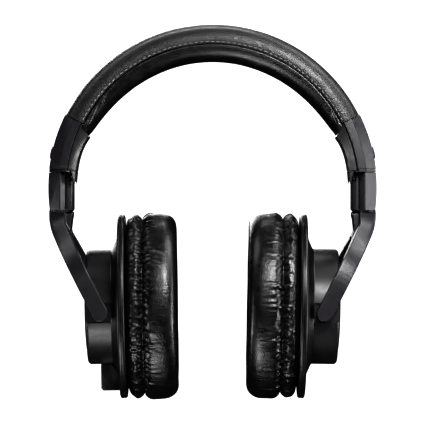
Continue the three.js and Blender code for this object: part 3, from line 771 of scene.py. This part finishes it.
def link_strip(name, side):
    """The outer plate of the link: an arc of the band, bevelled like the housing."""
    outer = [on_band(BAND_R, 0, level_angle(LINK_LOW + (LINK_HIGH - LINK_LOW) * i / 16, BAND_R))
             for i in range(17)]
    outline = [(81.8, LINK_LOW), *[(p[0], p[2]) for p in outer], (81.8, LINK_HIGH)]
    obj = prism(f"{name}_link_plate", outline, (-15, 15), along_y, LOOKS["satin_plastic"])
    section = both_ways([(81, -15), (82.4, -15), (BAND_R, -9.3)])
    boolean(obj, prism("bevels", section, (LINK_LOW - 1, LINK_HIGH + 1), upright, LOOKS["satin_plastic"]),
            "INTERSECT")
    rounded_edges(obj, 0.45, 30, 4)
    mirror_side(obj, side)
    settle(obj, f"{name}_link", [f"{name}_hinge_link"])


def link_column():
    """Section (x, y) of the post that the pins run through: rounded in front and behind."""
    r, depth, x = 3.2, 8.0, 78.3
    front = [(x + r * math.cos(a), r - depth + r * math.sin(a))
             for a in (-math.pi * k / 20 for k in range(21))]
    return both_ways(front)


def link_core(name, side):
    """Web, post and hinge ears behind the plate, moulded as one."""
    plastic = LOOKS["satin_plastic"]
    web = both_ways([(79.6, -12), (82.5, -14.9)])
    obj = prism(f"{name}_link_core", web, (-81, -61.2), upright, plastic)
    carve(obj, rectangle(70, -65.4, 81.9, -60), (-8.6, 8.6), along_y)
    boolean(obj, prism("post", link_column(), (-81, -66), upright, plastic), "UNION")
    ear = [(75, -66.4), (75, -64.6), (75.4, -63.4), (76.6, -62.9), (78, -63.4), (81, -65.4),
           (81, -70), (75, -70)]
    ears = prism("ears", fillet(ear, 0.6), (-8, 8), along_y, plastic)
    boolean(ears, prism("round", link_column(), (-72, -60), upright, plastic), "INTERSECT")
    boolean(obj, ears, "UNION")
    about_fold = about_y(FOLD.x, FOLD.z)
    lug_half = 4.4
    drill(obj, about_fold, 3, -lug_half, lug_half)
    carve(obj, rectangle(70, -64.9, 81.9, -60), (-lug_half, lug_half), along_y)
    drill(obj, about_fold, 1.25, -9, 9, 32)
    drill(obj, about_z(SWIVEL.x), 2.1, -68, -90, 32)
    rounded_edges(obj, 0.2, 40)
    mirror_side(obj, side)
    settle(obj, f"{name}_link", ())
    link_foot_painted_shade(name, side)


def link_foot_painted_shade(name, side):
    """A foot that fills most of the gap above the yoke; its near-black is painted shade in that gap."""
    outline = both_ways([(75.6, -7.5), (82.4, -14.2), (88.1, -9)])
    obj = prism(f"{name}_link_foot_painted_shade", outline, (-81.59, -80.9), upright, LOOKS["matt_plastic"])
    drill(obj, about_z(SWIVEL.x), 4, -85, -79)
    mirror_side(obj, side)
    settle(obj, f"{name}_link", ())


def swivel_pin(name, side):
    profile = [(0, -68.4), (1.8, -68.4), (1.8, -88.4), (2.4, -88.4), (2.6, -88.7), (2.4, -89.3),
               (1.6, -89.6), (0, -89.6)]
    obj = turned(f"{name}_swivel_pin_turned", profile, about_z(SWIVEL.x), LOOKS["steel"], 40)
    mirror_side(obj, side)
    settle(obj, f"{name}_link", [f"{name}_swivel_pin"])


# ---- Yoke ----
ARM_LEAN = math.radians(27.3)
ARM_HALF = 4.3
YOKE_TOP = -81.6


def arm_outline():
    """Seen from the front: from the swivel the bar leans in to the cup's pivot."""
    across = Vector((math.cos(ARM_LEAN), -math.sin(ARM_LEAN))) * ARM_HALF
    pivot = Vector((PIVOT.x, PIVOT.z))
    outer, inner = pivot + across, pivot - across

    def along_arm(point, z):
        return Vector((point.x + (z - point.y) * math.tan(ARM_LEAN), z))

    curve = soft_corner(Vector((88.3, -84.5)), Vector((88.3, -90.5)), along_arm(outer, -97), 12)
    tip = [pivot + ARM_HALF * Vector((math.cos(a), math.sin(a)))
           for a in (-ARM_LEAN - math.pi * k / 20 for k in range(21))]
    outline = [Vector((79.5, YOKE_TOP - 0.4)), Vector((88.3, YOKE_TOP)), *curve, *tip,
               along_arm(inner, -88.2)]
    return [tuple(p) for p in outline]


def bezier(a, b, c, d, steps):
    a, b, c, d = map(Vector, (a, b, c, d))
    return [(1 - t) ** 3 * a + 3 * t * (1 - t) ** 2 * b + 3 * t * t * (1 - t) * c + t ** 3 * d
            for t in (k / steps for k in range(steps + 1))]


CROWN_HALF, ARM_INSIDE, ARM_OUTSIDE = 13, 33.2, 37.2
FACE_TURN = 0.6                               # slope of the crown's faces, fading to none at the tips


def on_arm(y, z, a):
    """Square to the leaning arms: a goes across them outward, z is the height on their centre line."""
    lean = math.tan(ARM_LEAN)
    return (PIVOT.x + (z - PIVOT.z) * lean + a * math.cos(ARM_LEAN), y, z - a * math.sin(ARM_LEAN))


def fork_body():
    """The crown widens into two arms, and its faces turn outward."""
    shoulder = bezier((CROWN_HALF, -83), (CROWN_HALF, -93), (ARM_OUTSIDE, -97), (ARM_OUTSIDE, -122), 28)
    right = [Vector((CROWN_HALF, -74)), *shoulder, Vector((ARM_OUTSIDE, -142))]
    outline = [*right, *[Vector((-p.x, p.y)) for p in reversed(right)]]
    rows = []
    for a in (-14, -6, 2, 10):
        row = []
        for y, z in outline:
            fade = (ARM_OUTSIDE - abs(y)) / (ARM_OUTSIDE - CROWN_HALF)
            turn_in = FACE_TURN * fade * (a + ARM_HALF)
            row.append(on_arm(y - math.copysign(turn_in, y), z, a))
        rows.append(row)
    return make("fork", *grid(rows), LOOKS["satin_plastic"])


def arch_room():
    """The round opening that straddles the barrel."""
    arch = [(ARM_INSIDE * math.cos(a), -131 + ARM_INSIDE * math.sin(a))
            for a in (math.pi * k / 48 for k in range(49))]
    outline = [*arch, (-ARM_INSIDE, -150), (ARM_INSIDE, -150)]
    return make("arch", *grid([[on_arm(y, z, a) for y, z in outline] for a in (-20, 12)]),
                LOOKS["satin_plastic"])


def yoke(name, side):
    plastic = LOOKS["satin_plastic"]
    obj = prism(f"{name}_fork", arm_outline(), (-40, 40), along_y, plastic)
    boolean(obj, fork_body(), "INTERSECT")
    gusset = [(75.6, -83), (76.3, -89), (76.6, -92), (74.2, -98), (71.2, -104), (79, -104), (84, -86),
              (84, -83)]
    boolean(obj, prism("gusset", gusset, (-9, 9), along_y, plastic), "UNION")
    boolean(obj, arch_room(), "DIFFERENCE")
    place = about_z(SWIVEL.x)
    hub = [(0, -82), (3.9, -82), (4.2, -82.3), (4.2, -84.5), (2.8, -88.1), (0, -88.1)]
    boolean(obj, turned("hub", hub, place, plastic, 64), "UNION")
    bridge = rectangle(SWIVEL.x, -82, 85, -86.5)
    boolean(obj, prism("bridge", bridge, (-4.2, 4.2), along_y, plastic), "UNION")
    head_room = [(0, -95), (3, -95), (3, -88.1), (2.1, -88.1), (2.1, -80), (0, -80)]
    boolean(obj, turned("head_room", head_room, place, plastic, 40), "DIFFERENCE")
    for end in (-1, 1):
        drill(obj, about_y(PIVOT.x, PIVOT.z), 2.2, end * 32, end * 35.4, 32)
    moulded(obj, 0.36, 4)
    mirror_side(obj, side)
    yoke_plate_painted_shade(name, side)
    settle(obj, f"{name}_yoke", [f"{name}_yoke"])


def yoke_plate_painted_shade(name, side):
    """A thin plate let into the crown's top, under the link's foot; its near-black is painted shade in the joint.
    """
    outline = both_ways([(75.9, -4), (80.2, -12.4), (84, -12), (88, -9)])
    obj = prism(f"{name}_yoke_plate_painted_shade", outline, (-82.3, -81.61), upright, LOOKS["matt_plastic"])
    drill(obj, about_z(SWIVEL.x), 2.6, -85, -79)
    mirror_side(obj, side)
    settle(obj, f"{name}_yoke", ())


# ---- Ear cup, in the cup's own frame: x outward from the pivot, z up ----
def oval_turned(name, profile, material):
    """A profile of (height radius, width radius, x) turned about the cup's axis and closed."""
    segments = 160
    rows = []
    for k in range(segments + 1):
        angle = 2 * math.pi * k / segments
        rows.append([(x, wide * math.cos(angle), CUP_CENTRE + high * math.sin(angle))
                     for high, wide, x in profile])
    return make(name, *grid(rows, closed=profile[0] == profile[-1], caps=False), material)


def ovals(outline):
    return [(r, r * OVAL, x) for r, x in outline]


def rounds(outline):
    return [(r, r, x) for r, x in outline]


def cup_shell(name, side):
    """Barrel, cone and oval flange, hollow and open towards the head."""
    barrel = rounds([(0, 5), (28.9, 5), (29.05, 4.8), (29.05, -5.4), (35.8, -9.3), (35.8, -10.8)])
    rim = [(49.7, -10.9), (50, -10.75), (50, -10.1), (49.8, -9.6), (49.4, -9.2), (48.7, -9.0)]
    flange = ovals(rim)
    back = rounds([(38.6, -9.0), (38.1, -8.9), (37.8, -8.6), (31.6, -5.9), (31.3, -5.6), (31.25, -5.2),
                   (31.25, 6.5), (31.1, 7.1), (30.5, 7.8), (30, 8.1), (29.8, 8.1), (29.6, 7.9), (29.6, 6.8),
                   (0, 6.8)])
    obj = oval_turned(f"{name}_cup_shell", [*barrel, *flange, *back], LOOKS["matt_plastic"])
    bush_low, bush_high = map(in_mm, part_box("right_pivot_bush_front"))
    bore_r = (bush_high.x - bush_low.x) / 2 + 0.05
    recess_from, recess_to = 29.9, 34         # where the flat for each arm's tip lies, out from the axis
    for end in (-1, 1):
        drill(obj, along_y, bore_r, end * 25, end * 30.5, 48)
        drill(obj, along_y, 5.3, end * recess_from, end * recess_to, 48)
        carve(obj, rectangle(-5.2, -5.3, 9, 5.3), sorted((end * recess_from, end * recess_to)), along_y)
    obj.data.set_sharp_from_angle(angle=math.radians(38))
    obj.data.materials.append(LOOKS["barrel_plastic"])
    cone_foot, barrel_inside = -5.5, 29.5     # x where the cone starts, radius just outside the hollow
    for face in obj.data.polygons:
        middle = face.center / MM
        from_axis = math.hypot(middle.y, middle.z - CUP_CENTRE)
        on_barrel = middle.x > cone_foot and from_axis > barrel_inside
        face.material_index = 1 if on_barrel else 0
    into_cup(obj, side)
    settle(obj, f"{name}_cup", [f"{name}_cup_housing"])


def outer_cap(name, side):
    """A shallow dome with a fine ring around its flat middle."""
    profile = rounds([(0, 7.1), (29.0, 7.1), (29.3, 7.3), (29.3, 7.8), (29.0, 8.05), (27, 8.35),
                      (24, 8.75), (20.5, 9.05), (17.2, 9.2), (16.9, 9.2), (16.7, 9.05), (16.4, 9.05),
                      (16.2, 9.2), (12, 9.2), (0, 9.2)])
    obj = oval_turned(f"{name}_cap_disc", profile, LOOKS["cap_plastic"])
    obj.data.set_sharp_from_angle(angle=math.radians(50))
    into_cup(obj, side)
    settle(obj, f"{name}_cup", [f"{name}_outer_cap"])


def baffle_plate(name, side):
    outline = [(21, -13.0), (48.7, -13.0), (49.4, -12.8), (49.8, -12.3), (49.9, -11.7), (49.9, -11.1),
               (49.6, -10.95), (21, -10.95)]
    profile = [(r, r * OVAL if r > 30 else r, x) for r, x in outline]
    obj = oval_turned(f"{name}_baffle_plate", [*profile, profile[0]], LOOKS["matt_plastic"])
    obj.data.set_sharp_from_angle(angle=math.radians(50))
    into_cup(obj, side)
    settle(obj, f"{name}_cup", [f"{name}_baffle"])


PAD_FACE, PAD_BACK = -41.7, -13.7


def ear_cushion(name, side):
    """A leatherette ring with a deep seam: a narrow bulge by the flange and a wide one to the head."""
    groove = -22.3
    knots = [(31.6, -18), (32.3, -15.0), (35, PAD_BACK), (42, PAD_BACK), (46.8, -14.2), (49.2, -16.6),
             (49.5, -19.2), (48.2, -21.4), (46.7, groove), (48.2, -23.4), (49.6, -26.5), (49.9, -31),
             (49.3, -35.6), (46.8, -39.4), (43, PAD_FACE + 0.6), (39, PAD_FACE + 0.4),
             (35, -40.3), (32.4, -37), (31.3, -31), (31.2, -24)]
    loop = [tuple(p) for p in spline([*knots, knots[0]], 4)[:-1]]
    segments = 220
    rows = []
    for k in range(segments):
        angle = 2 * math.pi * k / segments
        rows.append([(x, r * OVAL * math.cos(angle), CUP_CENTRE + r * math.sin(angle)) for r, x in loop])
    points, faces = grid([*rows, rows[0]], closed=True, caps=False)
    obj = make(f"{name}_cushion", points, faces, LOOKS["cushion_leather"])
    pinned = [v.index for v in obj.data.vertices if is_held(v.co / MM, groove)]
    inflate(obj, pinned, pressure=4.5, growth=0.02, reach=0.8)
    modify(obj, "SUBSURF", levels=1, render_levels=1)
    bake(obj)
    crease(obj, groove)
    into_cup(obj, side)
    if side > 0:
        flip_about_cup(obj)
    settle(obj, f"{name}_cup", [f"{name}_ear_pad"])


def flip_about_cup(obj):
    """Turns the right cushion half way round its own axis, so the two don't crease alike."""
    centre = (PIVOT + Vector((0, 0, CUP_CENTRE))) * MM
    axis = Matrix.Rotation(CUP_LEAN, 4, "Y") @ Vector((1, 0, 0))
    turn = Matrix.Rotation(math.pi, 4, axis)
    obj.data.transform(Matrix.Translation(centre) @ turn @ Matrix.Translation(-centre))


def is_held(point, groove):
    """Where the cushion is sewn or clipped: along the seam, and all its back by the baffle."""
    radius = math.hypot(point.y / OVAL, point.z - CUP_CENTRE)
    at_seam = abs(point.x - groove) < 0.45 and radius > 42
    return at_seam or point.x > PAD_BACK - 0.6


def crease(obj, groove):
    """Puckers that run out from the seam over both bulges, each its own length, and slow dents."""
    smooth_r = 40                             # nearer the ear the leather lies smooth
    broad, narrow = 19, 41                    # how closely the two kinds of pucker follow each other
    usual_reach, spread, least_reach = 5.5, 6, 2.2

    def height(p):
        radius = math.hypot(p.y / OVAL, p.z - CUP_CENTRE)
        if radius < smooth_r:
            return 0.15 * noise.noise(p / 17)
        around = math.atan2(p.z - CUP_CENTRE, p.y / OVAL)
        away = abs(p.x - groove)
        place = Vector((around * 6, math.copysign(4, p.x - groove), 7.7))
        reach = max(usual_reach + spread * noise.noise(place), least_reach)
        skew = 0.045 * away * noise.noise(Vector((around * 3, p.x * 0.1, 5.5)))
        ripple = ridge(Vector(((around + skew * 0.1) * broad, p.x * 0.03, 3.1)))
        fine = ridge(Vector(((around - skew * 0.1) * narrow, p.x * 0.06, 9.7)))
        near = math.exp(-(away / reach) ** 2) * min(1, 0.25 + away / 1.2)
        return near * (1.1 * ripple + 0.5 * fine) + 0.25 * noise.noise(p / 16)

    displace(obj, height)


def ridge(p):
    """Noise with sharp valleys, as folded leather has."""
    return abs(noise.noise(p)) * 2 - 0.5


def dust_screen(name, side):
    """The cloth stretched over the driver's grille inside the cushion."""
    high, wide, sag = 30.4, 25.4, 0.5
    rim_x = -14.6
    rings, around = 14, 72
    points = [(rim_x - sag, 0, CUP_CENTRE)]
    for i in range(1, rings + 1):
        t = i / rings
        for k in range(around):
            angle = 2 * math.pi * k / around
            points.append((rim_x - sag * (1 - t * t), wide * t * math.cos(angle),
                           CUP_CENTRE + high * t * math.sin(angle)))
    faces = [(0, 1 + k, 1 + (k + 1) % around) for k in range(around)]
    for i in range(rings - 1):
        for k in range(around):
            a, b = 1 + i * around + k, 1 + i * around + (k + 1) % around
            faces.append((a, b, b + around, a + around))
    obj = make(f"{name}_dust_screen", points, faces, KNIT)
    into_cup(obj, side)
    modify(obj, "SOLIDIFY", thickness=0.3 * MM, offset=0)
    bake(obj)
    settle(obj, f"{name}_cup")


# ---- Cable inlet ----
def port_block():
    outline = [(-5, -28.4), (1.3, -28.4), (1.3, -41.7), (0.1, -42.9), (-9, -42.9), (-9, -34.6)]
    obj = prism("left_port_block", fillet(outline, 0.7), (-6, 6), along_y, LOOKS["matt_plastic"])
    about = about_z(-3.7)
    drill(obj, about, 3.3, -50, -33, 48)
    rounded_edges(obj, 0.5, 50)
    into_cup(obj, -1)
    settle(obj, "left_cup", ["left_port_housing"])
    sleeve = [(1.85, -33.4), (3.1, -33.4), (3.1, -42.5), (2.9, -42.9), (2.2, -42.9), (1.85, -42.5),
              (1.85, -33.4)]
    socket = turned("left_socket_sleeve", sleeve, about, LOOKS["brass"], 48)
    into_cup(socket, -1)
    settle(socket, "left_cup", ["left_jack_socket"])


# ---- Stage ----
def camera():
    """Level with the middle of the object and straight in front, as a long lens sees it."""
    distance, seen = 1.45, 0.231              # metres from the crown's plane, and width shown there
    data = bpy.data.cameras.new("camera")
    data.lens = data.sensor_width * distance / seen
    obj = bpy.data.objects.new("camera", data)
    obj.location = (0, -distance, -0.0825)
    obj.rotation_euler = (math.pi / 2, 0, 0)
    scene.collection.objects.link(obj)
    scene.camera = obj


def area_light(name, place, aim, size, power):
    data = bpy.data.lights.new(name, "AREA")
    data.shape = "RECTANGLE"
    data.size, data.size_y = size
    data.energy = power
    obj = bpy.data.objects.new(name, data)
    obj.location = place
    obj.rotation_euler = (Vector(aim) - Vector(place)).to_track_quat("-Z", "Y").to_euler()
    obj.visible_camera = False
    scene.collection.objects.link(obj)


def stage():
    """A round white studio: a floor that sweeps up into a wall, wide enough for every camera."""
    floor_z, wall_r, bend, top = -2.2, 4.0, 1.2, 5.0
    profile = [(0.0, floor_z), (wall_r - bend, floor_z)]
    profile += [(wall_r - bend + bend * math.sin(a), floor_z + bend - bend * math.cos(a))
                for a in (math.pi / 2 * k / 12 for k in range(1, 13))]
    profile.append((wall_r, top))
    sweep = [(r / MM, z / MM) for r, z in profile]
    paper = Finish("paper", (0.9, 0.9, 0.9), 0.9)
    paper.vary_roughness(paper.noise(3, 2), 0.85, 0.95)
    paper.set("Emission Color", (1, 1, 1, 1))
    paper.set("Emission Strength", 1.0)
    room = turned("studio_sweep", sweep, upright, paper.material, 64)
    room.visible_diffuse = False
    room.visible_glossy = False
    room.visible_shadow = False


def lights():
    """A small key above the right cup, cards high and low on both sides, a strip, and weak fills."""
    area_light("key", (0.12, -0.32, 0.08), (0.07, 0, -0.13), (0.12, 0.12), 1.35)
    area_light("upper_right", (0.42, -0.05, 0.42), (0.06, 0, -0.1), (0.35, 0.35), 2.3)
    area_light("upper_left", (-0.42, -0.10, 0.42), (-0.06, 0, -0.05), (0.35, 0.35), 0.9)
    area_light("side_strip", (1.0, -0.15, -0.02), (0, 0, -0.05), (0.2, 0.6), 3.4)
    area_light("low_card_left", (-0.95, -0.14, -0.36), (0.07, 0, -0.05), (0.3, 0.2), 2.8)
    area_light("low_card_right", (0.95, -0.14, -0.36), (-0.07, 0, -0.05), (0.3, 0.2), 3.8)
    area_light("table_bounce", (-0.14, -0.28, -0.50), (-0.06, 0, -0.13), (0.2, 0.25), 1.1)
    area_light("top_back", (-0.1, 0.30, 0.9), (0, 0, 0), (0.8, 0.25), 6.0)
    area_light("front_fill", (0.0, -1.7, 0.20), (0, 0, -0.03), (0.7, 0.3), 1.4)
    area_light("back_fill", (-0.3, 1.7, 0.4), (0, 0, -0.08), (0.9, 0.6), 9.0)
    area_light("under_fill", (0.2, -0.5, -1.6), (0, 0, -0.1), (0.8, 0.8), 0.8)
    world = bpy.data.worlds.new("studio")
    world.use_nodes = True
    world.node_tree.nodes["Background"].inputs["Color"].default_value = (1, 1, 1, 1)
    world.node_tree.nodes["Background"].inputs["Strength"].default_value = 0.004
    scene.world = world
    scene.view_settings.view_transform = "Standard"
    scene.view_settings.look = "High Contrast"


SIDE_PIECES = (housing_outer, painted_shade_joint_filler, thumb_button, housing_inner, housing_screws, end_block,
               fold_pin, link_strip, link_core, swivel_pin, yoke, cup_shell, outer_cap,
               baffle_plate, ear_cushion, dust_screen)

camera()
dress_cad_nodes()
headband_cover()
headband_pad()
headband_stitching()
for side_name, direction in SIDES.items():
    for build in SIDE_PIECES:
        build(side_name, direction)
port_block()
stage()
lights()
